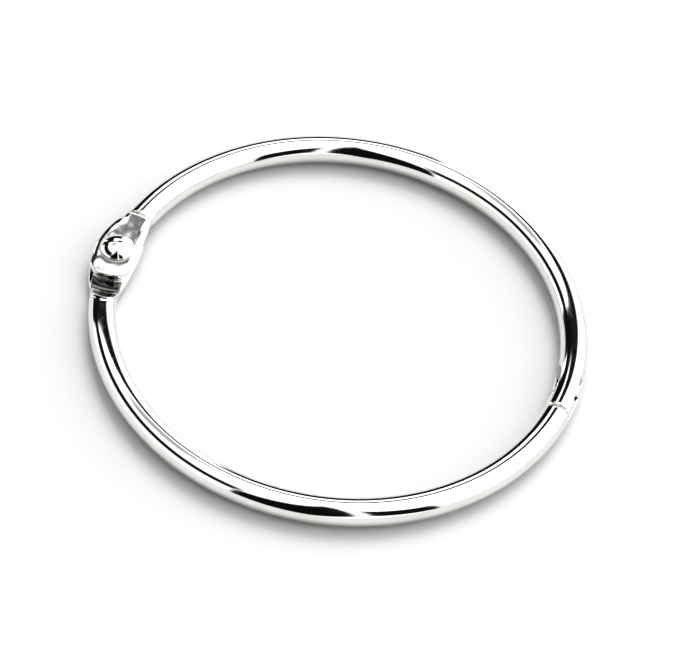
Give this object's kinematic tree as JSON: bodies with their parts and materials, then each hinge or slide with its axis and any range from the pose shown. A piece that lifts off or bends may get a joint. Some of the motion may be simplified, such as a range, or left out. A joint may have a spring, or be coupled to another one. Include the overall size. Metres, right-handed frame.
{
  "type": "binder ring",
  "caption": "Hinged loose-leaf ring: two half rings of round plated wire, lapped and riveted at one side, with a snap closure at the other.",
  "frame": {"origin": "centre of the closed ring, at the middle of the wire's thickness", "axes": "+Z is the ring's axis, towards the rivet's domed head; +X runs from the centre to the snap, so the rivet is at -X; +Y is the socket half's side"},
  "size_m": [0.0583, 0.0572, 0.0041],
  "materials": {
    "socket_plating": "bright nickel plating on steel wire",
    "tongue_plating": "bright nickel plating on steel wire",
    "rivet_plating": "bright nickel plating on a steel rivet"
  },
  "bodies": {
    "socket_side": {"socket_half": "socket_plating", "hinge_rivet": "rivet_plating"},
    "tongue_side": {"tongue_half": "tongue_plating"}
  },
  "joints": [
    {"name": "ring_hinge", "type": "hinge", "parent": "socket_side", "child": "tongue_side", "pos_m": [-0.027, 0, 0], "axis": [0, 0, -1], "range_deg": [0, 145]}
  ]
}
